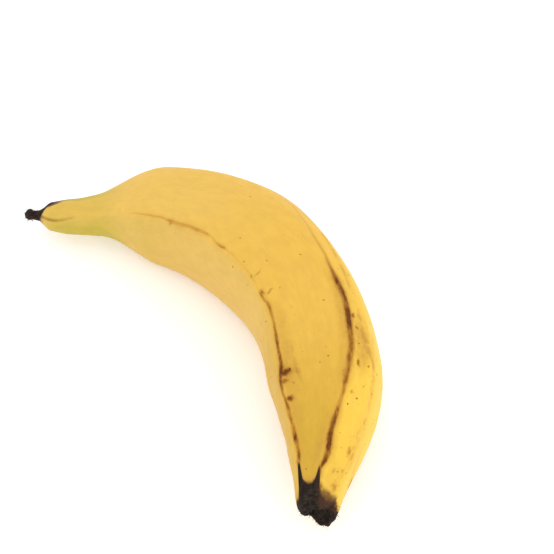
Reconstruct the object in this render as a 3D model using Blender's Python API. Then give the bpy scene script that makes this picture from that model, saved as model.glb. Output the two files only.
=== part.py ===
"""A ripe banana lying on its side, as one closed solid.

Blender 4.5, metres, +Z up. The two ends lie along X with the stem end at -X, and the
outer curve bulges towards +Y. The origin is in the middle of the banana's box, on the
surface that it lies on.

The skin is lofted along a curved middle line. Every ring across it is a rounded
pentagon whose corners run along the banana's five ridges.
"""

import math

import bmesh
import bpy
from mathutils import Matrix, Vector

MM = 0.001

# Middle line. A turn is (degrees, start, end), with places as shares of the length.
LENGTH = 200 * MM
TURNS = (
    (29.2, 0.0, 0.163),  # the stalk curls back
    (-130.0, -0.28, 1.0),  # the fruit's own bend
    (-3.2, 0.50, 0.80),  # a little more bend past the middle
    (22.0, 0.923, 1.0),  # the blossom end straightens
)

# Distance from the middle line to the ridges. A swell is (rise, start, end).
STALK_TIP_RADIUS = 1.6 * MM
SWELLS = (
    (0.3 * MM, 0.017, 0.032),  # root of the torn stalk
    (3.0 * MM, 0.026, 0.052),  # shoulder of the neck
    (1.35 * MM, 0.038, 0.088),  # shoulder into neck
    (2.8 * MM, 0.075, 0.216),  # neck
    (6.6 * MM, 0.139, 0.258),  # neck into belly
    (6.0 * MM, 0.133, 0.484),  # belly
    (-15.4 * MM, 0.723, 1.013),  # taper to the blossom end
)

# Ridges, in degrees from straight up towards the outer curve.
# A ridge is its angle at the stem, then its changes as (degrees, start, end).
RIDGES = (
    (-34.0, ((-3.5, 0.50, 0.90),)),
    (51.0, ((-18.0, 0.41, 0.57), (-50.0, 0.64, 1.20))),
    (68.0, ((-19.0, 0.34, 0.58),)),
    (140.0, ()),
    (230.0, ()),
)
FACET_SIDES = (8, 4, 8, 8, 8)

# How far the faces between ridges fall inside a round section
FLATNESS = 0.5
RIDGE_SOFTNESS = 1.15
FLATNESS_START = (0.05, 0.20)
FLATNESS_END = (0.92, 1.0)
FLATNESS_LOSS = 0.5

# Blossom end: a dried rim round a shallow pit.
# A row is (mm past the middle line's end, share of the radius, share of the ragged edge).
# The pit's lowest point is also in mm past that end.
BLOSSOM_ROWS = (
    (-9.6, 1.00, 0.0),
    (-7.5, 0.985, 0.3),
    (-6.1, 0.95, 0.6),
    (-5.2, 0.87, 0.9),
    (-4.8, 0.74, 1.0),
    (-5.3, 0.60, 0.95),
    (-6.4, 0.44, 0.6),
    (-6.8, 0.20, 0.2),
)
PIT_PAST = -6.9
RAGGED_WAVES = 5
RAGGED_HEIGHT = 0.3 * MM
RAGGED_PHASE = 20.0
# The slanting cut, a notch and a torn lobe of the rim, as (height, angle, narrowness)
TORN = (
    (-2.8 * MM, -115.0, 2),
    (-0.8 * MM, 122.0, 12),
    (1.8 * MM, 178.0, 4),
)

# Rings along the length, as (start, end, count)
RING_RUNS = (
    (0.0083, 0.095, 14),
    (0.095, 0.22, 9),
    (0.22, 0.93, 34),
    (0.93, 0.952, 3),
)
STALK_TIP_RINGS = 5
LINE_STEPS = 400

# How it lies: leaned back about the line through its ends, with the stem end a little lower
LEAN = 9.6
PITCH = -2.55
SETTLE = 0.3 * MM

# Colour, roughness and place of each part of the peel
YELLOW = ((0.84, 0.52, 0.09), 0.5)
GREEN = ((0.60, 0.47, 0.09), 0.5)
DRIED = ((0.035, 0.02, 0.015), 0.8)
STALK_END = 0.034
NECK_END = 0.14
DRIED_START = 0.94


def smooth_step(value, start, end):
    share = min(max((value - start) / (end - start), 0.0), 1.0)
    return share * share * (3.0 - 2.0 * share)


def add_steps(value, first, steps):
    """Starts from one number and adds each step's rise as value passes it."""
    return first + sum(rise * smooth_step(value, start, end) for rise, start, end in steps)


def heading(place):
    return math.radians(add_steps(place, 0.0, TURNS))


def ridge_angles(place):
    return [add_steps(place, angle, changes) for angle, changes in RIDGES]


def middle_line():
    """Points and headings along the middle line, turned so that its ends lie along X."""
    points = [Vector((0.0, 0.0))]
    step = LENGTH / LINE_STEPS
    for index in range(LINE_STEPS):
        direction = heading((index + 0.5) / LINE_STEPS)
        points.append(points[-1] + step * Vector((math.cos(direction), math.sin(direction))))
    turn = math.atan2(points[-1].y, points[-1].x)
    turned = [Matrix.Rotation(-turn, 2) @ point for point in points]
    headings = [heading(index / LINE_STEPS) - turn for index in range(LINE_STEPS + 1)]
    return turned, headings


def frame_at(line, distance):
    """Centre, forward and outward directions at a distance from the stem tip."""
    points, headings = line
    position = min(max(distance / LENGTH * LINE_STEPS, 0.0), float(LINE_STEPS))
    index = min(int(position), LINE_STEPS - 1)
    share = position - index
    direction = headings[index] * (1.0 - share) + headings[index + 1] * share
    centre = points[index].lerp(points[index + 1], share)
    forward = Vector((math.cos(direction), math.sin(direction), 0.0))
    outward = Vector((-forward.y, forward.x, 0.0))
    beyond = distance - position / LINE_STEPS * LENGTH
    return Vector((centre.x, centre.y, 0.0)) + beyond * forward, forward, outward


def flatness(place):
    fade = 1.0 - FLATNESS_LOSS * smooth_step(place, *FLATNESS_END)
    return FLATNESS * smooth_step(place, *FLATNESS_START) * fade


def section(place):
    """Angle and share of the radius of every corner of the ring at a place."""
    corners = []
    angles = ridge_angles(place)
    angles.append(angles[0] + 360.0)
    for facet, sides in enumerate(FACET_SIDES):
        first, last = angles[facet], angles[facet + 1]
        dip = flatness(place) * (1.0 - math.cos(math.radians(last - first) / 2.0))
        for side in range(sides):
            across = side / sides
            hollow = (4.0 * across * (1.0 - across)) ** RIDGE_SOFTNESS
            angle = math.radians(first + (last - first) * across)
            corners.append((angle, 1.0 - dip * hollow))
    return corners


def bump_at(angle, height, middle, narrowness):
    facing = max(math.cos(angle - math.radians(middle)), 0.0)
    return height * facing ** narrowness


def ragged_edge(angle):
    """How far the blossom end's rim stands out at an angle round it."""
    waves = RAGGED_HEIGHT * math.sin(RAGGED_WAVES * angle + math.radians(RAGGED_PHASE))
    return waves + sum(bump_at(angle, *bump) for bump in TORN)


def ring(line, distance, share=1.0, ragged=0.0):
    """Corners of one ring across the banana."""
    place = distance / LENGTH
    radius = add_steps(place, STALK_TIP_RADIUS, SWELLS) * share
    centre, forward, outward = frame_at(line, distance)
    up = Vector((0.0, 0.0, 1.0))
    corners = []
    for angle, reach in section(place):
        spoke = math.cos(angle) * up + math.sin(angle) * outward
        push = ragged * ragged_edge(angle) * forward
        corners.append(centre + radius * reach * spoke + push)
    return corners


def skin_rings(line):
    """All rings in order from the stem tip to the pit of the blossom end, with places."""
    rings = []
    for index in range(1, STALK_TIP_RINGS + 1):
        turn = math.pi / 2.0 * index / (STALK_TIP_RINGS + 1)
        distance = STALK_TIP_RADIUS * (1.0 - math.cos(turn))
        rings.append((distance / LENGTH, ring(line, distance, math.sin(turn))))
    for start, end, count in RING_RUNS:
        for index in range(count):
            place = start + (end - start) * index / count
            rings.append((place, ring(line, place * LENGTH)))
    for past, share, ragged in BLOSSOM_ROWS:
        distance = LENGTH + past * MM
        rings.append((1.0, ring(line, distance, share, ragged)))
    return rings


def lay_down(mesh):
    """Leans the banana onto its side and flattens the spots that it rests on."""
    lean = Matrix.Rotation(math.radians(LEAN), 4, "X")
    pitch = Matrix.Rotation(math.radians(PITCH), 4, "Y")
    mesh.transform(pitch @ lean)
    low = [min(vertex.co[axis] for vertex in mesh.verts) for axis in range(3)]
    high = [max(vertex.co[axis] for vertex in mesh.verts) for axis in range(3)]
    shift = Vector((-(low[0] + high[0]) / 2.0, -(low[1] + high[1]) / 2.0, -low[2] - SETTLE))
    for vertex in mesh.verts:
        vertex.co += shift
        vertex.co.z = max(vertex.co.z, 0.0)


def peel_slot(place):
    """Material slot at a place: 0 is yellow, 1 is green and 2 is dried."""
    if place < STALK_END or place > DRIED_START:
        return 2
    if place < NECK_END:
        return 1
    return 0


def banana_mesh():
    line = middle_line()
    skin = bmesh.new()
    rings = []
    for place, corners in skin_rings(line):
        rings.append((place, [skin.verts.new(corner) for corner in corners]))
    sides = len(rings[0][1])

    tip = skin.verts.new(frame_at(line, 0.0)[0])
    pit = skin.verts.new(frame_at(line, LENGTH + PIT_PAST * MM)[0])
    for side in range(sides):
        after = (side + 1) % sides
        stem_face = skin.faces.new((tip, rings[0][1][side], rings[0][1][after]))
        pit_face = skin.faces.new((pit, rings[-1][1][after], rings[-1][1][side]))
        stem_face.material_index = 2
        pit_face.material_index = 2
        for (place, near), (_, far) in zip(rings, rings[1:]):
            face = skin.faces.new((near[side], far[side], far[after], near[after]))
            face.material_index = peel_slot(place)

    lay_down(skin)
    bmesh.ops.recalc_face_normals(skin, faces=skin.faces)
    mesh = bpy.data.meshes.new("banana")
    skin.to_mesh(mesh)
    skin.free()
    mesh.shade_smooth()
    return mesh


def peel_material(name, colour, roughness):
    material = bpy.data.materials.new(name)
    material.use_nodes = True
    shader = material.node_tree.nodes["Principled BSDF"]
    shader.inputs["Base Color"].default_value = (*colour, 1.0)
    shader.inputs["Roughness"].default_value = roughness
    shader.inputs["Metallic"].default_value = 0.0
    return material


def clear_scene():
    for thing in list(bpy.data.objects):
        bpy.data.objects.remove(thing, do_unlink=True)


def main():
    clear_scene()
    banana = bpy.data.objects.new("banana", banana_mesh())
    banana.data.materials.append(peel_material("peel_yellow", *YELLOW))
    banana.data.materials.append(peel_material("peel_green", *GREEN))
    banana.data.materials.append(peel_material("peel_dried", *DRIED))
    bpy.context.scene.collection.objects.link(banana)


main()
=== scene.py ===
"""The looks of a ripe banana: its ridged and freckled peel, its frayed dry ends and its studio.

The file is laid out as a Blender add-on. Run as a script, it registers its operators and
calls them in order. Sizes are in metres unless a name or a comment says mm, and angles in the
tables are degrees. The banana lies along X, with its stem end at -X and its outer curve
towards +Y.
"""

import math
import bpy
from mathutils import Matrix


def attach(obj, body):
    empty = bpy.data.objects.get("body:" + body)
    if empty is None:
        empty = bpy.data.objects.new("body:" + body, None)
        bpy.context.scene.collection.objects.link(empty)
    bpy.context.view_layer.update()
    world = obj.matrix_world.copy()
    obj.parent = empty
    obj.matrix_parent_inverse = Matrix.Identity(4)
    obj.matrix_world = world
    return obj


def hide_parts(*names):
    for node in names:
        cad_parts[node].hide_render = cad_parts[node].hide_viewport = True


bl_info = {
    "name": "Ripe Banana",
    "version": (1, 0, 0),
    "blender": (4, 5, 0),
    "location": "3D View > Sidebar > Banana",
    "description": "Grows the peel of a ripe banana round its middle line and sets it in a studio",
    "category": "Object",
}

import bpy
from mathutils import Matrix, Vector

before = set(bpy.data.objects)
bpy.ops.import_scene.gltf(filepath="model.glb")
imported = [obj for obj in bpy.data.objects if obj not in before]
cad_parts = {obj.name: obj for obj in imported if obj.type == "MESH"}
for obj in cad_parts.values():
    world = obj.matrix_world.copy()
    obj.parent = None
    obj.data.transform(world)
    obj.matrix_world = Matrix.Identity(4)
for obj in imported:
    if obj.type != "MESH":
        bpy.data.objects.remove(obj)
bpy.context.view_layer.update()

MM = 0.001
DEGREE = math.radians(1.0)

# Middle line. A turn is (degrees, start, end), with places as shares of the length.
TURNS = (
    (29.2, 0.0, 0.163),  # the stalk curls back
    (-130.0, -0.28, 1.0),  # the fruit's own bend
    (-3.2, 0.50, 0.80),  # a little more bend past the middle
    (22.0, 0.923, 1.0),  # the blossom end straightens
)
LINE_STEPS = 400

# Distance from the middle line to the ridges. A swell is (rise in mm, start, end).
SWELLS = (
    (0.3, 0.017, 0.032),  # root of the torn stalk
    (3.0, 0.026, 0.052),  # shoulder of the neck
    (1.35, 0.038, 0.088),  # shoulder into neck
    (2.8, 0.075, 0.216),  # neck
    (6.6, 0.139, 0.258),  # neck into belly
    (6.0, 0.133, 0.484),  # belly
    (-15.4, 0.723, 1.013),  # taper to the blossom end
)

# Ridges in their order round the skin, which starts and ends at ridge 4, underneath.
# A ridge is its name, its angle in degrees from straight up, its changes as (degrees, start,
# end), and the share of the skin's sides that lie between it and the next ridge.
RIDGES = (
    ("ridge_4", -220.0, (), 8 / 36),
    ("ridge_5", -130.0, (), 8 / 36),
    ("ridge_1", -34.0, ((-3.5, 0.50, 0.90),), 8 / 36),
    ("ridge_2", 51.0, ((-18.0, 0.41, 0.57), (-50.0, 0.64, 1.20)), 4 / 36),
    ("ridge_3", 68.0, ((-19.0, 0.34, 0.58),), 8 / 36),
    ("ridge_4", 140.0, (), 0.0),
)
RIDGE_NAMES = [name for name, *_ in RIDGES[:-1]]
FLATNESS_START = (0.05, 0.20)
FLATNESS_END = (0.92, 1.0)
FLATNESS_LOSS = 0.5
# The face from ridge 5 to ridge 1 is flatter near the blossom end, over (start, end, softness)
FLATTER_FACE = "ridge_5"
FLATTER_BY = 0.45
FLATTER_STRETCH = (0.75, 0.86, 0.03)

# Blossom end: a dried rim round a pit. The cap takes the last share of the rings.
CAP_START_MM = 9.6
CAP_SHARE = 0.12
CAP_SKIN_MM = 12.0
CAP_PAST_MM = (
    (0.0, -9.6), (0.16, -7.5), (0.30, -6.1), (0.40, -5.2), (0.50, -4.8),
    (0.60, -5.3), (0.72, -6.4), (0.86, -6.8), (1.0, -6.9),
)
CAP_REACH = (
    (0.0, 1.0), (0.16, 0.985), (0.30, 0.95), (0.40, 0.87), (0.50, 0.74),
    (0.60, 0.60), (0.72, 0.44), (0.86, 0.20), (1.0, 0.0),
)
CAP_RAGGED = (
    (0.0, 0.0), (0.16, 0.3), (0.30, 0.6), (0.40, 0.9), (0.50, 1.0),
    (0.60, 0.95), (0.72, 0.6), (0.86, 0.2), (1.0, 0.0),
)
CAP_SMOOTH = (0.8, 1.0)
# Points closer than this are merged, at the seam and at both poles
SEAM_GAP = 1e-6
# Waves round the rim, and its tears as (height in mm, angle, narrowness)
RAGGED_WAVES = 5
RAGGED_MM = 0.3
RAGGED_PHASE = 20.0
TORN = (
    (-2.8, -115.0, 2),  # slanting cut
    (-0.8, 122.0, 12),  # notch
    (1.6, 174.0, 3),  # torn lobe
    (0.9, -168.0, 34),  # corner of the lobe
    (-1.5, -147.0, 30),  # notch beside the lobe
)

# Stretches along the skin in mm, as (start, end) or as (start, end, softness)
BELLY_MM = (20.0, 186.0, 8.0)
NECK_ROOT_MM = (5.0, 10.0)
NECK_END_MM = (20.0, 48.0)
DRIED_STALK_MM = (4.0, 8.0)
DRIED_BLOSSOM_MM = (187.0, 197.0)
KNOB_MM = (0.6, 2.4, 0.8)
COLLAR_MM = (2.6, 7.5, 1.0)
FRAYED_STALK_MM = (2.0, 5.0)
FRAYED_RIM_MM = (194.5, 198.5, 1.0)
FOLDED_MM = (190.0, 199.0, 2.0)
FRECKLED_MM = (60.0, 186.0, 14.0)
# Where the black of the torn stalk ends
STALK_BLACK_MM = 7.0

# Loose fibres: bent cones. The tip is a share of the root's width, the bend and the sunk
# part are shares of the length, tilts are in radians, and sizes are shares of the full size.
FIBRE_SEED = 7
FIBRE_SIDES = 5
FIBRE_RINGS = 4
FIBRE_TIP = 0.2
FIBRE_BEND = 0.5
FIBRE_SUNK = 0.15
FIBRE_TILT = (1.1, 1.1, 3.1)
FIBRE_SIZES = (0.4, 1.0)

# Studio, in metres unless the name says otherwise
FLOOR_SIDES = 96
KEY_LIGHT_PLACE = (0.66, 0.35, 0.32)
KEY_LIGHT_SIZE = 0.6
SENSOR_WIDTH_MM = 36.0
WHITE = (1.0, 1.0, 1.0, 1.0)

# Layout of a node tree in its editor, and the kind of a tree's input for a type of value
NODES_IN_ROW = 20
NODE_SPACING = (180.0, 320.0)
INPUT_KINDS = {
    float: "NodeSocketFloat", int: "NodeSocketInt", bpy.types.Material: "NodeSocketMaterial",
}

# Where the blackened blossom end begins, as (angle, mm along) round the skin. It runs up
# the ridges in wedges, with a tongue of yellow peel between ridges 1 and 2.
DRIED_EDGE = (
    (-220.0, 187.0), (-212.0, 190.5), (-200.0, 194.0), (-185.0, 196.0), (-165.0, 195.5),
    (-148.0, 193.5), (-138.0, 190.0), (-130.0, 186.5), (-123.0, 190.5), (-110.0, 193.0),
    (-90.0, 192.2), (-74.0, 191.5), (-52.0, 191.5), (-43.0, 191.0), (-39.5, 189.6), (-37.2, 185.6),
    (-35.0, 182.6), (-32.5, 182.4), (-30.5, 184.2), (-29.0, 186.0), (-26.5, 187.2), (-21.0, 188.0),
    (-13.0, 188.3), (-5.0, 187.9), (-0.5, 187.0), (2.2, 185.4), (4.4, 184.0),
    (6.2, 183.9), (7.6, 185.0), (8.8, 188.2), (12.0, 189.8), (20.0, 191.0), (30.0, 192.0),
    (46.0, 192.6), (56.0, 193.3), (64.0, 194.6), (74.0, 195.3), (88.0, 195.3), (102.0, 194.6),
    (116.0, 193.5), (130.0, 190.5), (140.0, 187.0),
)

# Brown lines along the ridges: the ridge, the shift of its dashes (0 if unbroken), and then
# (mm along, mm beside the ridge, half width in mm, strength) wherever the line changes.
BROWN_LINES = (
    ("ridge_1", 0.0, (
        (43.0, -0.5, 0.3, 0.0), (52.0, 0.0, 0.35, 0.26), (60.8, 0.0, 0.45, 0.3),
        (62.8, -0.33, 0.65, 0.46), (65.8, -0.33, 0.7, 0.28), (70.8, 0.0, 0.65, 0.32),
        (75.8, 0.35, 0.55, 0.4), (81.5, 0.73, 0.45, 0.38), (83.5, 0.73, 0.35, 0.14),
        (88.5, 0.0, 0.4, 0.42), (91.0, 0.2, 0.45, 0.52), (92.8, 0.5, 0.35, 0.2),
        (95.2, 0.38, 0.25, 0.12), (109.0, 0.42, 0.25, 0.08), (117.0, 0.2, 0.3, 0.12),
        (118.8, 0.2, 0.6, 0.6), (122.0, 0.3, 0.5, 0.45), (127.5, 1.1, 0.5, 0.62),
        (133.5, 0.87, 0.48, 0.5), (140.0, 0.7, 0.62, 0.8), (145.0, 0.9, 0.62, 0.7),
        (149.5, 1.1, 0.7, 0.8), (153.5, 0.6, 0.9, 0.97), (155.5, -0.1, 0.85, 0.9),
        (158.5, -0.4, 0.75, 0.7), (162.0, 0.1, 0.6, 0.62), (164.0, 0.3, 0.65, 0.66),
        (167.0, 0.45, 0.7, 0.62), (171.0, 0.85, 0.7, 0.6), (174.5, 1.05, 0.8, 0.82),
        (178.0, 1.2, 0.65, 0.6), (181.0, 1.0, 0.62, 0.75), (184.0, 0.7, 0.6, 0.7),
        (200.0, 0.7, 0.6, 0.7),
    )),
    ("ridge_2", 0.0, (
        (75.0, 1.76, 0.4, 0.0), (89.0, 1.57, 0.5, 0.12), (103.2, 1.23, 0.5, 0.18),
        (113.2, 1.1, 0.6, 0.3), (118.3, 0.35, 0.7, 0.5), (123.2, 0.0, 0.95, 0.64),
        (127.5, 0.0, 1.15, 0.9), (132.5, 0.3, 1.1, 0.76), (138.5, 0.14, 1.2, 0.98),
        (141.5, 0.2, 1.2, 0.88), (145.0, 0.35, 1.15, 0.72), (148.5, 0.6, 1.1, 0.8),
        (152.0, 0.4, 1.1, 0.72), (158.5, 0.38, 0.95, 0.7), (162.5, 0.6, 0.75, 0.52),
        (165.5, 0.4, 0.7, 0.56), (168.8, 0.3, 0.8, 0.88), (172.5, 0.2, 0.9, 0.72),
        (176.0, 0.4, 1.0, 0.98), (179.0, 0.9, 0.9, 0.86), (182.2, 0.45, 0.8, 0.8),
        (185.0, 0.0, 0.55, 0.9), (200.0, -0.3, 0.6, 0.9),
    )),
    ("ridge_3", 5.0, (
        (70.0, 0.0, 0.5, 0.0), (98.8, 0.53, 0.5, 0.25), (137.0, -2.26, 0.8, 0.25),
        (148.8, -0.37, 0.9, 0.28), (161.2, 2.96, 0.9, 0.28), (172.5, 1.02, 0.6, 0.22),
        (188.2, 0.15, 0.4, 0.1),
    )),
    ("ridge_4", 9.0, (
        (60.0, 0.3, 0.4, 0.0), (80.0, 0.3, 0.5, 0.4), (130.0, 0.4, 0.6, 0.55), (186.0, 0.3, 0.5, 0.6),
    )),
    ("ridge_5", 13.0, (
        (50.0, 0.0, 0.4, 0.0), (75.0, 0.3, 0.5, 0.45), (120.0, -0.3, 0.5, 0.4), (150.0, 0.2, 0.6, 0.6),
        (186.0, 0.3, 0.5, 0.6),
    )),
)
# Olive creases at the root of the stalk, in the same form
CREASES = (
    ("ridge_1", 0.0, (
        (6.0, -0.3, 0.5, 0.8), (8.5, -0.6, 0.55, 0.75), (11.2, -1.3, 0.6, 0.72),
        (14.0, -1.5, 0.55, 0.62), (17.5, -1.0, 0.5, 0.5), (21.5, -0.3, 0.4, 0.0),
    )),
    ("ridge_2", 0.0, (
        (4.8, -1.2, 1.8, 1.0), (8.0, -1.8, 2.2, 1.0), (10.5, -1.8, 2.2, 1.0), (12.5, -1.0, 1.7, 1.0),
        (15.0, -0.6, 1.3, 0.9), (18.0, -0.5, 0.9, 0.6), (25.0, -0.6, 0.6, 0.0),
    )),
    ("ridge_5", 0.0, (
        (5.0, 0.6, 1.3, 0.9), (8.0, 0.9, 1.4, 0.85), (11.0, 0.9, 1.2, 0.6), (15.0, 0.8, 0.9, 0.35),
        (22.0, 0.6, 0.7, 0.0),
    )),
)

# Marks: the ridge that they are measured from, mm along, mm beside the ridge, half
# length and half width in mm, turn in degrees, and strength
MARKS = (
    ("ridge_1", 63.3, -0.98, 0.9, 0.5, 60.0, 0.45),
    ("ridge_1", 110.0, 0.43, 0.9, 0.45, -35.0, 0.5),
    ("ridge_1", 110.8, 2.7, 1.3, 0.35, -80.0, 0.36),
    ("ridge_1", 120.3, 3.23, 1.2, 0.45, -60.0, 0.46),
    ("ridge_1", 118.8, 0.94, 1.3, 0.6, 10.0, 0.62),
    ("ridge_1", 153.6, 3.5, 0.85, 0.85, 0.0, 0.9),
    ("ridge_1", 154.0, 1.9, 1.15, 2.4, 4.0, 0.92),
    ("ridge_1", 156.8, 0.95, 0.85, 1.35, -10.0, 0.68),
    ("ridge_1", 162.8, 1.9, 0.95, 1.2, 0.0, 0.85),
    ("ridge_1", 158.2, 4.04, 0.45, 0.4, 0.0, 0.42),
    ("ridge_1", 154.4, 5.9, 1.3, 0.5, 8.0, 0.32),
    ("ridge_3", 137.8, -4.52, 0.75, 0.6, 0.0, 0.75),
    ("ridge_3", 141.8, -4.15, 0.7, 0.5, 30.0, 0.62),
    ("ridge_3", 152.8, -4.39, 1.0, 0.55, 10.0, 0.7),
    ("ridge_3", 161.5, -5.24, 0.6, 0.5, 0.0, 0.42),
    ("ridge_3", 159.2, -1.7, 0.5, 0.4, 0.0, 0.3),
    ("ridge_3", 144.2, 2.64, 0.6, 0.5, 0.0, 0.28),
    ("ridge_3", 177.5, -0.22, 1.1, 0.75, 0.0, 0.48),
    ("ridge_3", 178.2, 1.72, 1.0, 0.5, 0.0, 0.38),
    ("ridge_3", 184.0, -3.01, 0.8, 0.5, 0.0, 0.32),
    ("ridge_3", 183.2, -0.36, 0.6, 0.5, 0.0, 0.32),
    ("ridge_3", 188.8, -1.19, 1.3, 0.8, 20.0, 0.45),
    ("ridge_3", 183.0, 10.1, 2.2, 0.7, 0.0, 0.95),
)
SOFT_MARKS = (
    ("ridge_1", 67.8, -0.67, 5.0, 1.3, 0.0, 0.45),
    ("ridge_1", 76.8, 0.0, 3.5, 1.1, 0.0, 0.3),
    ("ridge_1", 135.0, 3.18, 7.0, 1.9, 0.0, 0.4),
    ("ridge_1", 150.8, 3.13, 13.0, 2.6, 0.0, 0.55),
    ("ridge_1", 153.4, 5.9, 4.2, 1.0, 8.0, 0.85),
    ("ridge_1", 146.0, 5.33, 2.2, 0.9, 0.0, 0.5),
    ("ridge_1", 154.4, 2.4, 4.4, 3.0, 0.0, 1.0),
    ("ridge_1", 166.5, 3.04, 8.0, 1.8, 0.0, 0.45),
    ("ridge_2", 139.0, -1.75, 15.0, 1.5, 0.0, 0.6),
    ("ridge_2", 176.5, -1.82, 6.0, 1.5, 0.0, 0.65),
    ("ridge_3", 141.0, -0.75, 5.0, 1.6, 12.0, 0.4),
    # Painted shade along the outer edge beside ridge 3, in the blush colour
    ("ridge_3", 146.5, -2.8, 7.5, 2.8, 0.0, 0.9),
    ("ridge_3", 171.5, 2.6, 7.0, 2.6, 0.0, 0.35),
    ("ridge_3", 186.5, -1.5, 5.0, 3.5, 0.0, 0.3),
    ("ridge_3", 155.2, 2.14, 12.0, 1.2, 5.0, 0.5),
    ("ridge_3", 176.5, 2.28, 6.0, 1.6, 0.0, 0.5),
    ("ridge_3", 179.5, 7.6, 5.0, 1.6, 0.0, 0.4),
)


def is_vector(entry):
    if isinstance(entry, Value):
        return entry.socket.type in {"VECTOR", "RGBA"}
    return isinstance(entry, tuple)


class Value:
    """A node's output that can be used in sums like a number."""

    def __init__(self, graph, socket):
        self.graph = graph
        self.socket = socket

    def output(self, name):
        """Another output of the same node."""
        return Value(self.graph, self.socket.node.outputs[name])

    def join(self, operation, first, second):
        vectors = is_vector(first) or is_vector(second)
        kind = "ShaderNodeVectorMath" if vectors else "ShaderNodeMath"
        return self.graph.node(kind, {"operation": operation}, {0: first, 1: second})

    def __add__(self, other):
        return self.join("ADD", self, other)

    def __sub__(self, other):
        return self.join("SUBTRACT", self, other)

    def __rsub__(self, other):
        return self.join("SUBTRACT", other, self)

    def __mul__(self, other):
        return self.join("MULTIPLY", self, other)

    def __truediv__(self, other):
        return self.join("DIVIDE", self, other)

    def __rtruediv__(self, other):
        return self.join("DIVIDE", other, self)

    def __pow__(self, other):
        return self.join("POWER", self, other)

    def __abs__(self):
        return self.math("ABSOLUTE")

    __radd__ = __add__
    __rmul__ = __mul__

    def math(self, operation, *others):
        return self.graph.math(operation, self, *others)

    def at_least(self, lowest):
        return self.math("MAXIMUM", lowest)

    def at_most(self, highest):
        return self.math("MINIMUM", highest)

    def map(self, start, end, low=0.0, high=1.0, interpolation="LINEAR"):
        """Goes from low to high while this value goes from start to end, and stays there."""
        ends = {"From Min": start, "From Max": end, "To Min": low, "To Max": high}
        settings = {"interpolation_type": interpolation}
        return self.graph.node("ShaderNodeMapRange", settings, {"Value": self, **ends})

    def step(self, start, end, low=0.0, high=1.0):
        return self.map(start, end, low, high, "SMOOTHSTEP")

    def fall(self, start, end):
        """1 before the start and 0 after the end."""
        return self.step(start, end, 1.0, 0.0)

    def band(self, start, end, soft):
        """1 between two places and 0 outside them, with soft ends."""
        return self.step(start - soft, start + soft) * self.fall(end - soft, end + soft)

    def stretch(self, low, high):
        """Stretches noise, most of which lies from 0.3 to 0.7, to go from low to high."""
        return self.map(0.3, 0.7, low, high)

    def add_steps(self, first, steps):
        """Starts from one number and adds each step's rise as this value passes it."""
        total = first
        for rise, start, end in steps:
            total = self.step(start, end, 0.0, rise) + total
        return total


class Graph:
    """Adds nodes to a node tree and hands back their outputs as values."""

    def __init__(self, tree):
        self.tree = tree

    def node(self, kind, settings=None, sockets=None, out=0):
        """Adds a node: its settings first, then the numbers or links of its sockets."""
        node = self.tree.nodes.new(kind)
        row, column = divmod(len(self.tree.nodes), NODES_IN_ROW)
        node.location = (column * NODE_SPACING[0], -row * NODE_SPACING[1])
        for name, setting in (settings or {}).items():
            if name == "curve":
                draw_curve(node.mapping, setting)
            else:
                setattr(node, name, setting)
        for key, entry in (sockets or {}).items():
            self.feed(node.inputs[key], entry)
        return Value(self, node.outputs[out]) if node.outputs else None

    def feed(self, socket, entry):
        if isinstance(entry, Value):
            self.tree.links.new(entry.socket, socket)
        elif socket.type == "VECTOR" and not is_vector(entry):
            socket.default_value = (entry, entry, entry)
        elif socket.type == "RGBA":
            socket.default_value = (*entry[:3], 1.0)
        else:
            socket.default_value = entry

    def math(self, operation, *entries):
        return self.node("ShaderNodeMath", {"operation": operation}, dict(enumerate(entries)))

    def vector(self, x, y, z):
        return self.node("ShaderNodeCombineXYZ", sockets={0: x, 1: y, 2: z})

    def axes(self, vector):
        """The X of a vector. Its Y and Z are other outputs of the same node."""
        return self.node("ShaderNodeSeparateXYZ", sockets={0: vector})

    def mix(self, share, first, second):
        """A colour that goes from the first to the second as share goes from 0 to 1."""
        return self.node("ShaderNodeMix", {"data_type": "RGBA"}, {0: share, 6: first, 7: second}, 2)

    def noise(self, place, size_mm, detail=2.0, roughness=0.5):
        """Smooth noise from about 0.2 to 0.8, with lumps of about this size."""
        sockets = {
            "Vector": place, "Scale": 1.0 / (size_mm * MM), "Detail": detail, "Roughness": roughness
        }
        return self.node("ShaderNodeTexNoise", sockets=sockets)

    def ripple(self, place, size_mm, detail=2.0, roughness=0.5):
        """The same noise about 0."""
        return self.noise(place, size_mm, detail, roughness) - 0.5

    def profile(self, value, points):
        """A smooth curve through given (place, height) points."""
        first, last = points[0][0], points[-1][0]
        heights = [height for _, height in points]
        low, high = min(heights), max(heights)
        curve = [
            ((place - first) / (last - first), (height - low) / (high - low))
            for place, height in points
        ]
        share = self.node("ShaderNodeFloatCurve", {"curve": curve}, {"Value": value.map(first, last)})
        return share * (high - low) + low

    def attribute(self, name, out="Fac"):
        return self.node("ShaderNodeAttribute", {"attribute_name": name}, out=out)

    def bump(self, shader, height_mm):
        sockets = {"Height": height_mm, "Distance": MM, "Strength": 1.0}
        self.feed(shader.inputs["Normal"], self.node("ShaderNodeBump", sockets=sockets))


def draw_curve(mapping, points):
    curve = mapping.curves[0]
    while len(curve.points) < len(points):
        curve.points.new(0.5, 0.5)
    for point, place in zip(curve.points, points):
        point.location = place
        point.handle_type = "AUTO_CLAMPED"
    mapping.update()


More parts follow.
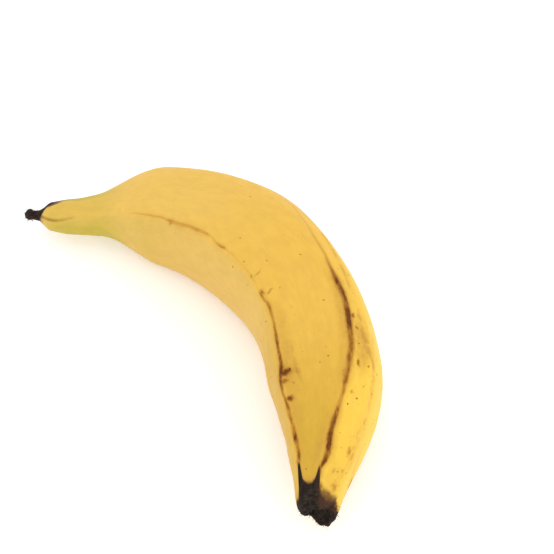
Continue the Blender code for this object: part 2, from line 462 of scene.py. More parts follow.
class Grower(Graph):
    """A Geometry Nodes tree with named inputs, which is run once on a mesh."""

    def __init__(self, name, inputs):
        super().__init__(bpy.data.node_groups.new(name, "GeometryNodeTree"))
        interface = self.tree.interface
        interface.new_socket("Geometry", in_out="OUTPUT", socket_type="NodeSocketGeometry")
        interface.new_socket("Geometry", in_out="INPUT", socket_type="NodeSocketGeometry")
        self.settings = {}
        for label, value in inputs.items():
            kind = INPUT_KINDS[type(value)]
            socket = interface.new_socket(label, in_out="INPUT", socket_type=kind)
            self.settings[socket.identifier] = value
        self.given = self.node("NodeGroupInput")

    def __getitem__(self, label):
        return self.given.output(label)

    def store(self, geometry, name, value, kind="FLOAT"):
        """Keeps a number or a vector on the corners of the faces."""
        settings = {"data_type": kind, "domain": "CORNER"}
        sockets = {"Geometry": geometry, "Name": name, "Value": value}
        return self.node("GeometryNodeStoreNamedAttribute", settings, sockets)

    def turned(self, vector, axis, angle):
        sockets = {"Vector": vector, "Angle": angle}
        return self.node("ShaderNodeVectorRotate", {"rotation_type": axis}, sockets)

    def moved(self, geometry, **place):
        """Moves the geometry's points, each to a Position or by an Offset."""
        return self.node("GeometryNodeSetPosition", sockets={"Geometry": geometry, **place})

    def finish(self, geometry):
        realized = self.node("GeometryNodeRealizeInstances", sockets={"Geometry": geometry})
        sockets = {"Geometry": realized, "Material": self["Material"]}
        painted = self.node("GeometryNodeSetMaterial", sockets=sockets)
        self.node("NodeGroupOutput", sockets={"Geometry": painted})

    def grow(self, name, seedling):
        """Runs the tree on a mesh and returns the result as a plain object."""
        base = bpy.data.objects.new(name + "_base", seedling)
        bpy.context.scene.collection.objects.link(base)
        modifier = base.modifiers.new("Grow", "NODES")
        modifier.node_group = self.tree
        for identifier, value in self.settings.items():
            modifier[identifier] = value
        depsgraph = bpy.context.evaluated_depsgraph_get()
        mesh = bpy.data.meshes.new_from_object(base.evaluated_get(depsgraph), depsgraph=depsgraph)
        bpy.data.objects.remove(base, do_unlink=True)
        if not mesh.polygons:
            raise RuntimeError(name + " has no faces")
        mesh.name = name
        grown = bpy.data.objects.new(name, mesh)
        bpy.context.scene.collection.objects.link(grown)
        return grown


def smooth_step(value, start, end):
    share = min(max((value - start) / (end - start), 0.0), 1.0)
    return share * share * (3.0 - 2.0 * share)


def middle_line(length):
    """The middle line as a chain of edges, turned so that its ends lie along X."""
    points = [Vector((0.0, 0.0, 0.0))]
    for index in range(LINE_STEPS):
        place = (index + 0.5) / LINE_STEPS
        heading = sum(math.radians(turn) * smooth_step(place, *span) for turn, *span in TURNS)
        ahead = Vector((math.cos(heading), math.sin(heading), 0.0))
        points.append(points[-1] + length / LINE_STEPS * ahead)
    turn_back = Matrix.Rotation(-math.atan2(points[-1].y, points[-1].x), 3, "Z")
    line = bpy.data.meshes.new("middle_line")
    edges = [(index, index + 1) for index in range(LINE_STEPS)]
    line.from_pydata([turn_back @ point for point in points], edges, [])
    return line


def section(tree, place, lap):
    """Angle round the skin in degrees, share of the radius there, and the ridges' angles."""
    fade = place.step(*FLATNESS_END, 1.0, 1.0 - FLATNESS_LOSS)
    flatness = place.step(*FLATNESS_START) * fade * tree["Flatness"]
    ridges = [place.add_steps(first, changes) for _, first, changes, _ in RIDGES]
    angle, reach, covered = ridges[0], 1.0, 0.0
    for (name, _, _, share), near, far in zip(RIDGES, ridges, ridges[1:]):
        gap = far - near
        across = lap.map(covered, covered + share)
        covered += share
        angle = gap * across + angle
        dip = flatness * (1.0 - tree.math("COSINE", gap * (DEGREE / 2.0)))
        if name == FLATTER_FACE:
            dip = dip * (place.band(*FLATTER_STRETCH) * FLATTER_BY + 1.0)
        hollow = across * (1.0 - across) * 4.0
        blunt = tree["Ridge Roundness"]
        power = tree["Ridge Softness"]
        rounded = (hollow * hollow + blunt * blunt) ** (power * 0.5) - blunt ** power
        reach = reach - dip * rounded
    return angle, reach, ridges


def ragged_edge(tree, angle, straight):
    """How far the blossom end's rim stands out, in mm, at an angle in radians."""
    edge = (angle * RAGGED_WAVES + math.radians(RAGGED_PHASE)).math("SINE") * RAGGED_MM
    for height, middle, narrowness in TORN:
        facing = (angle - math.radians(middle)).math("COSINE").at_least(0.0)
        edge = edge + facing ** narrowness * height
    return edge + tree.ripple(straight, 1.6, 3.0, 0.62) * tree["Fray"]


def skin_relief(tree, straight, along_mm):
    """Fine forms of the skin, in mm: swells of the flesh, neck creases and dried wrinkles."""
    swell = tree.ripple(straight * (1.0, 1.0, 0.35), 30.0, 1.0) * tree["Swell"] * along_mm.band(*BELLY_MM)
    fine = tree.ripple(straight * (1.0, 1.0, 0.5), 7.0) * 0.22
    creases = tree.ripple(straight * (1.0, 1.0, 0.12), 1.9)
    neck = along_mm.step(*NECK_ROOT_MM) * along_mm.fall(*NECK_END_MM)
    wrinkled = tree.ripple(straight * (1.0, 1.0, 0.3), 0.9, 3.0, 0.6)
    crumpled = tree.ripple(straight, 2.2, 2.0, 0.6)
    dried = along_mm.fall(*DRIED_STALK_MM) + along_mm.step(*DRIED_BLOSSOM_MM)
    knob = along_mm.band(*KNOB_MM) * 0.3 + along_mm.band(*COLLAR_MM) * 0.08
    folds = creases * neck * tree["Crease"] + (wrinkled + crumpled) * dried * tree["Wrinkle"]
    return swell + fine + folds + knob


def wrapped(tree, line, distance, push, angle, outreach):
    """Places round the middle line, pushed along it and reaching out from it."""
    within = distance.at_most(tree["Length"])
    sampling = {"Curves": line, "Length": within}
    centre = tree.node("GeometryNodeSampleCurve", {"mode": "LENGTH"}, sampling, "Position")
    forward = centre.output("Tangent")
    ahead = tree.axes(forward)
    outward = tree.vector(ahead.output("Y") * -1.0, ahead, 0.0)
    spoke = outward * angle.math("SINE") + tree.vector(0.0, 0.0, angle.math("COSINE"))
    return centre + forward * (distance - within + push) + spoke * outreach


def laid_down(tree, skin, surface):
    """Leans the skin, centres it, lowers it onto the floor and flattens what would go below."""
    leaned = tree.turned(surface, "X_AXIS", tree["Lean"])
    skin = tree.moved(skin, Position=tree.turned(leaned, "Y_AXIS", tree["Pitch"]))
    box = tree.node("GeometryNodeBoundBox", sockets={"Geometry": skin}, out="Min")
    middle = (box + box.output("Max")) * (-0.5, -0.5, 0.0)
    lowest = box * (0.0, 0.0, -1.0) - tree.vector(0.0, 0.0, tree["Settle"])
    skin = tree.moved(skin, Offset=middle + lowest)
    here = tree.axes(tree.node("GeometryNodeInputPosition"))
    resting = tree.vector(here, here.output("Y"), here.output("Z").at_least(0.0))
    return tree.moved(skin, Position=resting)


def skin_tree(shape, material):
    """Grows the skin: a sheet of rings and sides wrapped round the middle line."""
    tree = Grower("banana_skin", {
        "Length": shape.length,
        "Tip Radius": shape.tip_radius,
        "Flatness": shape.flatness,
        "Ridge Softness": shape.ridge_softness,
        "Ridge Roundness": shape.ridge_roundness,
        "Swell": shape.swell / MM,
        "Crease": shape.crease / MM,
        "Wrinkle": shape.wrinkle / MM,
        "Fray": shape.fray / MM,
        "Lean": shape.lean,
        "Pitch": shape.pitch,
        "Settle": shape.settle,
        "Rings": shape.rings,
        "Sides": shape.sides,
        "Material": material,
    })
    line = tree.node("GeometryNodeMeshToCurve", sockets={"Mesh": tree["Geometry"]})
    sheet_sockets = {
        "Size X": 1.0, "Size Y": 1.0,
        "Vertices X": tree["Rings"] + 1.0, "Vertices Y": tree["Sides"] + 1.0,
    }
    sheet = tree.node("GeometryNodeMeshGrid", sockets=sheet_sockets)
    spot = tree.axes(tree.node("GeometryNodeInputPosition"))
    run, lap = spot + 0.5, spot.output("Y") + 0.5

    body = run.map(0.0, 1.0 - CAP_SHARE)
    cap = run.map(1.0 - CAP_SHARE, 1.0)
    body_length = tree["Length"] - CAP_START_MM * MM
    distance = (body * 0.5 + body.step(0.0, 1.0) * 0.5) * body_length
    distance = distance + (tree.profile(cap, CAP_PAST_MM) + CAP_START_MM) * MM
    along = distance.at_most(body_length) + cap * CAP_SKIN_MM * MM
    place = distance / tree["Length"]

    angle_degrees, reach, ridges = section(tree, place.at_most(1.0), lap)
    angle = angle_degrees * DEGREE
    ball = 1.0 - (1.0 - (distance / tree["Tip Radius"]).at_most(1.0)) ** 2.0
    radius = place.add_steps(tree["Tip Radius"], [(rise * MM, *span) for rise, *span in SWELLS])
    full_radius = radius * ball ** 0.5 * tree.profile(cap, CAP_REACH)
    straight = tree.vector(full_radius * angle.math("COSINE"), full_radius * angle.math("SINE"), distance)

    relief = skin_relief(tree, straight, along / MM) * ball * cap.fall(*CAP_SMOOTH)
    outreach = full_radius * reach + relief * MM
    push = tree.profile(cap, CAP_RAGGED) * ragged_edge(tree, angle, straight) * MM
    surface = wrapped(tree, line, distance, push, angle, outreach)

    skin = tree.store(sheet, "straight", straight, "FLOAT_VECTOR")
    skin = tree.store(skin, "along", along)
    skin = tree.store(skin, "angle", angle_degrees)
    for name, ridge in zip(RIDGE_NAMES, ridges):
        offset = (angle_degrees - ridge) * DEGREE * full_radius
        if ridge is ridges[0]:
            offset = offset.at_most((ridges[-1] - angle_degrees) * DEGREE * full_radius)
        skin = tree.store(skin, name, offset)
    skin = laid_down(tree, skin, surface)
    skin = tree.node("GeometryNodeMergeByDistance", sockets={"Geometry": skin, "Distance": SEAM_GAP})
    skin = tree.node("GeometryNodeSetShadeSmooth", sockets={"Geometry": skin, "Shade Smooth": True})
    tree.finish(skin)
    return tree


class Peel(Graph):
    """The peel's node tree, with what the skin says about each of its points."""

    def __init__(self, tree):
        super().__init__(tree)
        self.straight = self.attribute("straight", "Vector")
        self.along = self.attribute("along") / MM
        self.angle = self.attribute("angle")
        self.beside = {name: self.attribute(name) / MM for name in RIDGE_NAMES}

    def lengthwise(self, stretch):
        """Places on the skin, squeezed along its length so that noise runs in streaks."""
        return self.straight * (1.0, 1.0, 1.0 / stretch)


def brown_lines(peel, table):
    """Lines along the ridges, and the blush on both sides of them, each from 0 to 1."""
    wander = peel.ripple(peel.lengthwise(2.0), 3.0) * 0.8
    frayed = peel.ripple(peel.lengthwise(2.0), 0.9, 3.0, 0.65) * 0.7
    patchy = peel.noise(peel.lengthwise(3.0), 1.6, 3.0, 0.65).map(0.32, 0.62, 0.68, 1.15)
    total, blush = 0.0, 0.0
    for ridge, broken, knots in table:
        middle, width, strength = (
            peel.profile(peel.along, [(knot[0], knot[column]) for knot in knots]) for column in (1, 2, 3)
        )
        away = abs(peel.beside[ridge] - middle + wander) + frayed * width
        line = away.fall(width * 0.3, width * 1.6) * strength * patchy
        glow = away.fall(width * 0.8, width * 3.2 + 0.5) * strength
        if broken:
            dashes = peel.noise(peel.straight + (broken, 0.0, 0.0), 3.4, 1.0)
            line = line * dashes.step(0.44, 0.56)
        total = line.at_least(total)
        blush = glow.at_least(blush)
    return total, blush


def marks(peel, table, soft):
    """Marks set one by one on the skin, from 0 to 1. Soft marks fade from their middle."""
    jitter = peel.ripple(peel.straight, 1.1, 3.0, 0.6) * 1.7
    jitter_across = peel.ripple(peel.straight + (0.7, 0.0, 0.0), 1.3, 3.0, 0.6) * 1.7
    charts = {
        ridge: peel.vector(peel.along + jitter, peel.beside[ridge] + jitter_across, 0.0)
        for ridge in sorted({row[0] for row in table})
    }
    total = 0.0
    for ridge, mm_along, mm_beside, half_length, half_width, turn, strength in table:
        placed = {
            "Vector": charts[ridge], "Location": (mm_along, mm_beside, 0.0),
            "Rotation": (0.0, 0.0, math.radians(turn)), "Scale": (half_length, half_width, 1.0),
        }
        place = peel.node("ShaderNodeMapping", {"vector_type": "TEXTURE"}, placed)
        size = peel.node("ShaderNodeVectorMath", {"operation": "LENGTH"}, {0: place}, "Value")
        total = size.step(1.0 - soft, 1.0 + soft, strength, 0.0).at_least(total)
    return total


def freckles(peel, size_mm, spacing_mm, crowding, shift=0.0):
    """Scattered freckles, with more of them where crowding is high."""
    sockets = {"Vector": peel.straight + (shift, 0.0, 0.0), "Scale": 1.0 / (spacing_mm * MM)}
    cells = peel.node("ShaderNodeTexVoronoi", sockets=sockets)
    wobble = peel.ripple(peel.straight, size_mm * 1.5) * 0.3
    radius = size_mm / spacing_mm
    dot = (cells + wobble).fall(radius * 0.5, radius)
    pick = peel.node("ShaderNodeSeparateColor", sockets={0: cells.output("Color")})
    return dot * (crowding - pick).step(-0.02, 0.05) * pick.output("Green").map(0.0, 1.0, 0.45, 1.0)


def peel_ground(peel, colours):
    """Healthy peel: slow changes from face to face, with a painted highlight on the shoulder and painted
    reflection on the inner side, a green neck and lengthwise grain.
    """
    slow = peel.noise(peel.lengthwise(2.0), 28.0)
    # Paler peel in slow random patches, and a painted highlight that pales the peel from the stalk to the
    # middle.
    highlit_shoulder = peel.along.step(60.0, 130.0, 0.8, 0.0)
    pale = (slow.step(0.35, 0.65) * 0.35 + highlit_shoulder).at_most(1.0)
    ground = peel.mix(pale, colours.gold, colours.pale)
    ridge_1, ridge_2 = peel.beside["ridge_1"], peel.beside["ridge_2"]
    inner = ridge_1.fall(-2.5, 0.5)
    # The inner side is painted paler and whiter: a painted reflection of the floor's light.
    ground = peel.mix(inner * 0.85, ground, colours.milky_reflection)
    flank = ridge_2.step(-1.0, 1.5) * peel.along.step(95.0, 150.0)
    ground = peel.mix(flank * 0.85, ground, colours.lemon)
    front = ridge_1.step(0.0, 2.0) * ridge_2.fall(-2.0, 0.5)
    dull = front * peel.along.step(128.0, 182.0) * 0.9 + inner * peel.along.step(118.0, 150.0) * 0.62
    ground = peel.mix(dull, ground, colours.dull)

    green = peel.along.step(6.0, 14.0) * peel.along.fall(27.0, 42.0)
    low = ridge_1.step(-6.0, 0.0, 1.0, 0.5)
    mottled = peel.noise(peel.lengthwise(3.0), 5.0, 3.0).stretch(0.6, 1.1)
    edges = peel.angle.band(26.0, 80.0, 8.0) + peel.angle.band(-155.0, -95.0, 10.0)
    inner_green = inner * peel.along.band(30.0, 62.0, 14.0) * 0.28
    greener = (green * (low + edges * 0.7) + inner_green) * mottled
    ground = peel.mix(greener.at_most(1.0), ground, colours.green)

    grain = peel.noise(peel.lengthwise(9.0), 0.9, 3.0, 0.6).stretch(-0.5, 0.5)
    cloud = peel.noise(peel.lengthwise(1.5), 3.2, 4.0, 0.6).stretch(-0.5, 0.5)
    shade = 1.0 + grain * 0.05 + cloud * 0.09
    return peel.node("ShaderNodeVectorMath", {"operation": "SCALE"}, {0: ground, "Scale": shade})


def bruised(peel, colour, colours):
    """The peel's colour with lines, bruises and freckles, and how strong those are."""
    lines, blush = brown_lines(peel, BROWN_LINES)
    creases, _ = brown_lines(peel, CREASES)
    uneven = peel.noise(peel.straight, 1.8, 3.0, 0.6).stretch(0.6, 1.25)
    # Soft marks are faint bruises, except the wide one beside ridge 3 at 146.5 mm, which is painted
    # shade.
    soft_marks = (blush * 0.7).at_least(marks(peel, SOFT_MARKS, 0.75)) * uneven
    colour = peel.mix(soft_marks, colour, colours.blush)
    colour = peel.mix(creases * 0.9, colour, colours.olive)

    flank = peel.beside["ridge_2"].step(0.0, 3.0) * peel.beside["ridge_3"].fall(10.0, 22.0)
    patches = peel.noise(peel.straight + (1.3, 0.0, 0.0), 14.0, 1.0).step(0.42, 0.66)
    crowding = flank * peel.along.step(110.0, 140.0) * 0.55 + 0.08 + patches * 0.13
    crowding = crowding * peel.along.band(*FRECKLED_MM)
    spots = freckles(peel, 0.42, 2.3, crowding)
    pinpricks = freckles(peel, 0.2, 1.15, crowding * 0.9, 0.4)
    stains = lines.at_least(marks(peel, MARKS, 0.7)).at_least(spots * 0.72).at_least(pinpricks * 0.5)
    colour = peel.mix(stains * 1.7, colour, colours.tan)
    return peel.mix(stains.step(0.45, 1.0), colour, colours.bark), stains


def crust(peel, past, wine, colours):
    """The black of the dried ends, dusty in its folds, with grey patches of dust and painted highlight
    that are strongest on the stalk, and purple brown on one side.
    """
    ash_and_highlight = peel.noise(peel.lengthwise(3.0), 1.0, 3.0, 0.7).step(0.38, 0.7)
    round_end = peel.vector(peel.angle * 0.022, peel.along * 0.9, 0.0) * MM
    folds = peel.noise(round_end, 1.0).band(0.52, 0.6, 0.03) * peel.along.band(*FOLDED_MM)
    # Grey patches, full on the stalk and weaker at the blossom end: dust and painted highlight.
    dusty = ash_and_highlight * peel.along.step(60.0, 120.0, 1.0, 0.45) + folds * 0.7
    colour = peel.mix(dusty, colours.soot, colours.ash_and_highlight)
    outer = peel.angle.band(4.0, 85.0, 8.0) * peel.along.step(100.0, 150.0)
    colour = peel.mix(past.step(0.0, 4.5, 0.5, 0.15) * outer, colour, colours.burnt)
    mottled = peel.noise(peel.straight, 1.7, 2.0, 0.6).step(0.36, 0.6)
    reddish = wine * peel.along.fall(194.0, 203.0) * mottled
    return peel.mix(reddish, colour, colours.wine)


def blackened(peel, colour, colours):
    """The peel's colour with its black ends, and how black it is, from 0 to 1."""
    wine = peel.angle.band(8.0, 62.0, 5.0)
    rough_edge = peel.ripple(peel.lengthwise(1.5), 1.5, 4.0, 0.65) * (wine * 3.0 + 1.6)
    past = peel.along - peel.profile(peel.angle, DRIED_EDGE) + rough_edge
    wedge = peel.beside["ridge_2"].band(-4.0, 0.9, 1.2) * 6.0
    stalk = peel.along * -1.0 + STALK_BLACK_MM + rough_edge * 0.5 + wedge
    ends = stalk.at_least(past)
    colour = peel.mix(past.step(-2.8, -0.6) * 0.6, colour, colours.blush)
    colour = peel.mix(stalk.step(-2.6, 0.3) * 0.5, colour, colours.burnt)
    colour = peel.mix(ends.step(wine * -1.4 - 0.9, 0.3) * 0.85, colour, colours.burnt)
    black = ends.step(wine * -0.6 - 0.4, wine * 2.4 + 0.6)
    return peel.mix(black, colour, crust(peel, past, wine, colours)), black


def new_material(name, kind):
    """A material, its node tree as this kind of graph, and its shader."""
    material = bpy.data.materials.new(name)
    material.use_nodes = True
    return material, kind(material.node_tree), material.node_tree.nodes["Principled BSDF"]


def peel_material(colours):
    """Ripe peel with bruised ridges and freckles, black and wrinkled at both ends."""
    material, peel, shader = new_material("banana_peel", Peel)
    colour, stains = bruised(peel, peel_ground(peel, colours), colours)
    colour, black = blackened(peel, colour, colours)
    peel.feed(shader.inputs["Base Color"], colour)

    gloss = peel.noise(peel.straight, 6.0, 3.0).stretch(0.44, 0.56)
    peel.feed(shader.inputs["Roughness"], (gloss + stains * 0.12).at_least(black * 0.78))
    shader.inputs["Specular IOR Level"].default_value = 0.12

    pores = peel.ripple(peel.straight, 0.35, 2.0, 0.6)
    strands = peel.ripple(peel.lengthwise(10.0), 0.6, 3.0, 0.6)
    wrinkles = peel.ripple(peel.lengthwise(4.0), 0.8, 4.0, 0.65)
    height = pores * 0.03 + strands * 0.05 - stains * 0.05 + wrinkles * black * 0.5 - black * 0.12
    peel.bump(shader, height)
    return material


def fibre_tree(shape, material):
    """Scatters short bent fibres over the torn stalk and the rim of the blossom end."""
    tree = Grower("banana_fibres", {
        "Fibre Length": shape.fibre_length,
        "Fibre Width": shape.fibre_width,
        "Crowding": shape.fibre_crowding,
        "Seed": FIBRE_SEED,
        "Material": material,
    })
    length, width, seed = tree["Fibre Length"], tree["Fibre Width"], tree["Seed"]
    along = tree.node("GeometryNodeInputNamedAttribute", {"data_type": "FLOAT"}, {"Name": "along"}) / MM
    torn = along.fall(*FRAYED_STALK_MM) + along.band(*FRAYED_RIM_MM)
    scatter = {"Mesh": tree["Geometry"], "Density": torn * tree["Crowding"] / MM ** 2, "Seed": seed}
    roots = tree.node("GeometryNodeDistributePointsOnFaces", sockets=scatter)

    cone = {
        "Vertices": FIBRE_SIDES, "Side Segments": FIBRE_RINGS, "Depth": length,
        "Radius Top": width * (FIBRE_TIP / 2.0), "Radius Bottom": width * 0.5,
    }
    fibre = tree.node("GeometryNodeMeshCone", sockets=cone)
    height = tree.axes(tree.node("GeometryNodeInputPosition")).output("Z")
    bend = height * height / length * FIBRE_BEND
    fibre = tree.moved(fibre, Offset=tree.vector(bend, 0.0, length * -FIBRE_SUNK))

    tilts = {0: tuple(-tilt for tilt in FIBRE_TILT), 1: FIBRE_TILT, "Seed": seed}
    tilt = tree.node("FunctionNodeRandomValue", {"data_type": "FLOAT_VECTOR"}, tilts)
    tilted = {"Rotation": roots.output("Rotation"), "Rotate By": tilt}
    rotation = tree.node("FunctionNodeRotateRotation", {"rotation_space": "LOCAL"}, tilted)
    sizes = {2: FIBRE_SIZES[0], 3: FIBRE_SIZES[1], "Seed": seed}
    size = tree.node("FunctionNodeRandomValue", {"data_type": "FLOAT"}, sizes, 1)
    planted = {"Points": roots, "Instance": fibre, "Rotation": rotation, "Scale": size}
    tree.finish(tree.node("GeometryNodeInstanceOnPoints", sockets=planted))
    return tree


def fibre_material(colours):
    """Dry fibres, from black to dusty brown."""
    material, graph, shader = new_material("banana_fibre", Graph)
    place = graph.node("ShaderNodeTexCoord", out="Object")
    dusty = graph.noise(place, 1.2).step(0.35, 0.7)
    graph.feed(shader.inputs["Base Color"], graph.mix(dusty, colours.soot, colours.ash_and_highlight))
    graph.feed(shader.inputs["Roughness"], graph.noise(place, 0.8).stretch(0.7, 0.9))
    graph.bump(shader, graph.noise(place, 0.2) * 0.05)
    return material


def colour_property(name, description, default):
    return bpy.props.FloatVectorProperty(
        name=name, description=description, default=default, min=0.0, max=1.0, size=3, subtype="COLOR")


def size_property(name, description, default, low=0.0):
    return bpy.props.FloatProperty(
        name=name, description=description, default=default, min=low, subtype="DISTANCE", unit="LENGTH")


def angle_property(name, description, degrees):
    default = math.radians(degrees)
    return bpy.props.FloatProperty(
        name=name, description=description, default=default, subtype="ANGLE", unit="ROTATION")


class BananaShape(bpy.types.PropertyGroup):
    """Sizes of the skin and of its loose fibres."""

    length: size_property(
        "Length", "Length of the middle line from stalk tip to blossom end", 200 * MM, 50 * MM)
    tip_radius: size_property("Tip Radius", "Radius of the torn stalk's round tip", 1.6 * MM, 0.5 * MM)
    flatness: bpy.props.FloatProperty(
        name="Flatness", description="How far the faces between ridges fall inside a round section",
        default=0.5, min=0.0, max=1.0, subtype="FACTOR")
    ridge_softness: bpy.props.FloatProperty(
        name="Ridge Softness", description="Power of the curve from a ridge into its faces",
        default=1.15, min=1.0, max=2.0)
    ridge_roundness: bpy.props.FloatProperty(
        name="Ridge Roundness", description="Share of a face that a ridge's rounding takes",
        default=0.12, min=0.0, max=1.0, subtype="FACTOR")
    swell: size_property("Swell", "Height of the slow swells of the flesh", 0.5 * MM)
    crease: size_property("Crease", "Depth of the lengthwise creases of the neck", 0.3 * MM)
    wrinkle: size_property("Wrinkle", "Depth of the wrinkles of the dried ends", 0.65 * MM)
    fray: size_property("Fray", "How far small tears stand out of the blossom end's rim", 2.3 * MM)
    lean: angle_property("Lean", "How far it leans back about the line through its ends", 9.6)
    pitch: angle_property("Pitch", "Turn about the crosswise axis, which dips its stem end", -2.55)
    settle: size_property("Settle", "How far the soft peel flattens where it rests", 0.3 * MM)
    fibre_length: size_property(
        "Fibre Length", "Length of the longest loose fibres of the dried ends", 1.9 * MM, 0.1 * MM)
    fibre_width: size_property(
        "Fibre Width", "Width of the thickest loose fibres at their root", 0.2 * MM, 0.01 * MM)
    fibre_crowding: bpy.props.FloatProperty(
        name="Fibre Crowding", description="Loose fibres on a square millimetre of the dried ends",
        default=1.1, min=0.0)
    rings: bpy.props.IntProperty(
        name="Rings", description="Rings of the skin along its length", default=456, min=60)
    sides: bpy.props.IntProperty(
        name="Sides", description="Sides of a ring, a multiple of 36 so that ridges fall on corners",
        default=216, min=36)


class PeelColours(bpy.types.PropertyGroup):
    """Colours of the peel."""

    gold: colour_property("Gold", "Ripe golden peel", (0.77, 0.455, 0.060))
    # Pale: peel of slow paler patches, and the painted highlight of the shoulder
    pale: colour_property("Pale", "Paler peel of the shoulder", (0.77, 0.485, 0.100))
    milky_reflection: colour_property("Milky", "Peel of the inner side", (0.70, 0.45, 0.108))
    # Milky: peel of the inner side, painted paler and whiter as reflected floor light
    lemon: colour_property("Lemon", "Bright peel of the outer flank", (0.83, 0.53, 0.066))
    dull: colour_property("Dull", "Peel of the front towards the blossom end", (0.61, 0.365, 0.038))
    green: colour_property("Green", "Unripe peel of the neck", (0.54, 0.415, 0.062))
    # Blush also paints the shade beside ridge 3 near the outer edge
    blush: colour_property("Blush", "Faint bruises and the rims of dark ones", (0.56, 0.305, 0.045))
    tan: colour_property("Tan", "Light bruises", (0.45, 0.20, 0.022))
    bark: colour_property("Bark", "Dark bruises", (0.12, 0.034, 0.002))
    olive: colour_property("Olive", "Creases at the root of the stalk", (0.24, 0.132, 0.012))
    burnt: colour_property("Burnt", "Edge of the dried ends", (0.13, 0.055, 0.014))
    wine: colour_property("Wine", "Purple brown beside the dried blossom end", (0.070, 0.030, 0.018))
    soot: colour_property("Soot", "Dried ends", (0.014, 0.008, 0.005))
    # Ash: dusty grey of the dried ends, also the painted highlight on the black stalk
    ash_and_highlight: colour_property("Ash", "Dusty fibres of the dried ends", (0.044, 0.031, 0.023))


class StudioSettings(bpy.types.PropertyGroup):
    """Floor, lights and camera."""

    floor_radius: size_property("Floor Radius", "Radius of the round floor", 1.5, 0.5)
    floor_colour: colour_property("Floor Colour", "Colour of the pale floor", (0.97, 0.97, 0.97))
    floor_glow: bpy.props.FloatProperty(
        name="Floor Glow", description="Light that the floor gives off, which softens shadows",
        default=0.2, min=0.0)
    sky: bpy.props.FloatProperty(
        name="Sky", description="Strength of the even light from all round", default=1.12, min=0.0)
    key_power: bpy.props.FloatProperty(
        name="Key Light", description="Power of the large light over the outer curve",
        default=0.9, min=0.0, subtype="POWER", unit="POWER")
    azimuth: angle_property("Camera Azimuth", "Turn of the camera from straight in front", 51.57)
    elevation: angle_property("Camera Elevation", "Angle of the camera above the floor", 52.0)
    distance: size_property(
        "Camera Distance", "Distance of the camera from the point it aims at", 518.4 * MM, 0.1)
    aim: bpy.props.FloatVectorProperty(
        name="Camera Aim", description="The point in the middle of the picture",
        default=(2.18 * MM, 14.84 * MM, 18.0 * MM), size=3, subtype="XYZ", unit="LENGTH")
    lens_mm: bpy.props.FloatProperty(
        name="Lens", description="Focal length of the camera's lens in mm", default=100.0, min=10.0)


class BANANA_OT_skin(bpy.types.Operator):
    """Grow the ridged skin and give it its peel"""

    bl_idname = "banana.skin"
    bl_label = "Grow Skin"
    bl_options = {"REGISTER", "UNDO"}

    def execute(self, context):
        shape = context.scene.banana_shape
        material = peel_material(context.scene.banana_colours)
        skin = skin_tree(shape, material).grow("banana_skin", middle_line(shape.length))
        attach(skin, "root")
        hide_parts("banana")
        return {"FINISHED"}


class BANANA_OT_fibres(bpy.types.Operator):
    """Fray both dried ends of the grown skin with loose fibres"""

    bl_idname = "banana.fibres"
    bl_label = "Fray Ends"
    bl_options = {"REGISTER", "UNDO"}

    def execute(self, context):
        skin = bpy.data.objects.get("banana_skin")
        if skin is None:
            raise RuntimeError("the skin is grown before its ends are frayed")
        material = fibre_material(context.scene.banana_colours)
        tree = fibre_tree(context.scene.banana_shape, material)
        fibres = tree.grow("banana_fibres", skin.data.copy())
        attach(fibres, "root")
        return {"FINISHED"}


def aim_at(thing, place, target):
    thing.location = place
    thing.rotation_euler = (Vector(target) - Vector(place)).to_track_quat("-Z", "Y").to_euler()


def hang_key_light(power):
    """A large round light over the outer curve, which faces the banana."""
    light = bpy.data.lights.new("key_light", "AREA")
    light.shape = "DISK"
    light.size = KEY_LIGHT_SIZE
    light.energy = power
    lamp = bpy.data.objects.new("key_light", light)
    bpy.context.scene.collection.objects.link(lamp)
    aim_at(lamp, KEY_LIGHT_PLACE, (0.0, 0.0, 0.0))


def floor_material(colour, glow):
    """A pale, faintly clouded floor that gives off a little light."""
    material, graph, shader = new_material("studio_floor", Graph)
    place = graph.node("ShaderNodeTexCoord", out="Object")
    shade = graph.noise(place, 300.0).stretch(0.985, 1.0)
    graph.feed(shader.inputs["Base Color"], graph.vector(*(shade * part for part in colour)))
    shader.inputs["Roughness"].default_value = 0.9
    shader.inputs["Emission Color"].default_value = WHITE
    shader.inputs["Emission Strength"].default_value = glow
    return material


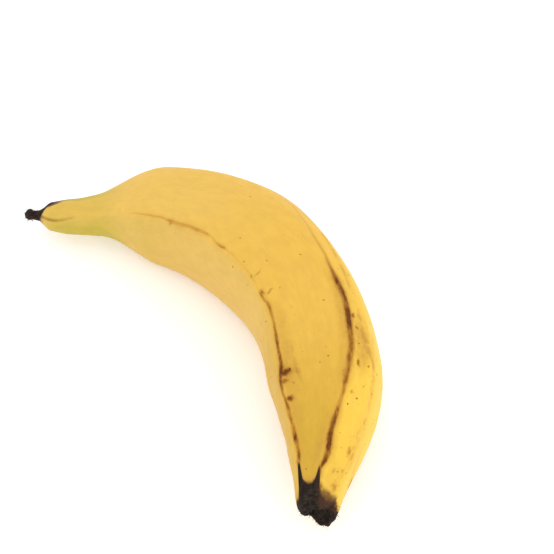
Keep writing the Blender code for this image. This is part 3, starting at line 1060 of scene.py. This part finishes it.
class BANANA_OT_stage(bpy.types.Operator):
    """Lay a pale floor, hang a large soft light and place the camera"""

    bl_idname = "banana.stage"
    bl_label = "Set Stage"
    bl_options = {"REGISTER", "UNDO"}

    def execute(self, context):
        scene = context.scene
        studio = scene.banana_studio
        bpy.ops.mesh.primitive_circle_add(
            vertices=FLOOR_SIDES, radius=studio.floor_radius, fill_type="NGON")
        floor = context.object
        floor.name = "floor"
        floor.data.materials.append(floor_material(studio.floor_colour, studio.floor_glow))

        world = bpy.data.worlds.new("studio_sky")
        world.use_nodes = True
        sky = world.node_tree.nodes["Background"]
        sky.inputs["Color"].default_value = WHITE
        sky.inputs["Strength"].default_value = studio.sky
        scene.world = world
        hang_key_light(studio.key_power)

        camera = bpy.data.objects.new("camera", bpy.data.cameras.new("camera"))
        camera.data.lens = studio.lens_mm
        camera.data.sensor_width = SENSOR_WIDTH_MM
        back = Vector((
            math.sin(studio.azimuth) * math.cos(studio.elevation),
            -math.cos(studio.azimuth) * math.cos(studio.elevation),
            math.sin(studio.elevation),
        ))
        aim_at(camera, Vector(studio.aim) + studio.distance * back, studio.aim)
        scene.collection.objects.link(camera)
        scene.camera = camera
        scene.view_settings.view_transform = "Standard"
        return {"FINISHED"}


class BANANA_PT_panel(bpy.types.Panel):
    """Buttons and sizes of the banana"""

    bl_label = "Banana"
    bl_idname = "BANANA_PT_panel"
    bl_space_type = "VIEW_3D"
    bl_region_type = "UI"
    bl_category = "Banana"

    def draw(self, context):
        for group, operators in (
            (context.scene.banana_shape, ("banana.skin", "banana.fibres")),
            (context.scene.banana_colours, ()),
            (context.scene.banana_studio, ("banana.stage",)),
        ):
            box = self.layout.box()
            for name in group.__annotations__:
                box.prop(group, name)
            for operator in operators:
                box.operator(operator)


CLASSES = (
    BananaShape, PeelColours, StudioSettings,
    BANANA_OT_skin, BANANA_OT_fibres, BANANA_OT_stage, BANANA_PT_panel,
)


def register():
    for kind in CLASSES:
        bpy.utils.register_class(kind)
    bpy.types.Scene.banana_shape = bpy.props.PointerProperty(type=BananaShape)
    bpy.types.Scene.banana_colours = bpy.props.PointerProperty(type=PeelColours)
    bpy.types.Scene.banana_studio = bpy.props.PointerProperty(type=StudioSettings)


def unregister():
    del bpy.types.Scene.banana_studio
    del bpy.types.Scene.banana_colours
    del bpy.types.Scene.banana_shape
    for kind in reversed(CLASSES):
        bpy.utils.unregister_class(kind)


def main():
    register()
    bpy.ops.banana.skin()
    bpy.ops.banana.fibres()
    bpy.ops.banana.stage()


if __name__ == "__main__":
    main()
